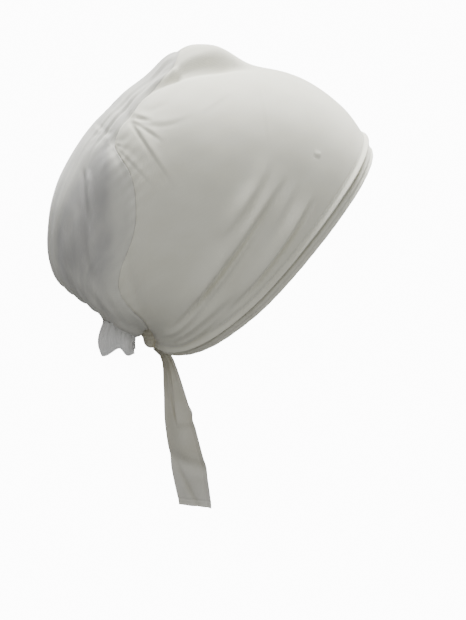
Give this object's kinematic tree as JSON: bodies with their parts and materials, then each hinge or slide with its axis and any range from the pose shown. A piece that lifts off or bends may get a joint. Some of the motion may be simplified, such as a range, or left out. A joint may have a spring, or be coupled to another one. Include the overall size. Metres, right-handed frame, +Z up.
{
  "type": "tie-back hijab cap",
  "caption": "Soft ivory jersey under cap with a stretched front panel, a gathered back pouch, a ruffled nape and tie ends knotted at the nape.",
  "frame": {"origin": "the point where the crown of the head touches the inside of the cap, on the middle line", "axes": "+X forward, towards the face; +Y to the wearer's left; +Z up, with the head upright"},
  "size_m": [0.2297, 0.157, 0.3199],
  "materials": {
    "jersey": "ivory cotton jersey, matt with a faint nap",
    "jersey_band": "ivory cotton jersey, folded double and stitched",
    "jersey_tie": "ivory cotton jersey, folded double, a little yellower"
  },
  "bodies": {
    "root": {"front_panel": "jersey", "back_pouch": "jersey", "face_band": "jersey_band", "nape_ruffle": "jersey", "tie_knot": "jersey_tie", "tie_end_right": "jersey_tie", "tie_end_left": "jersey_tie"}
  },
  "joints": []
}
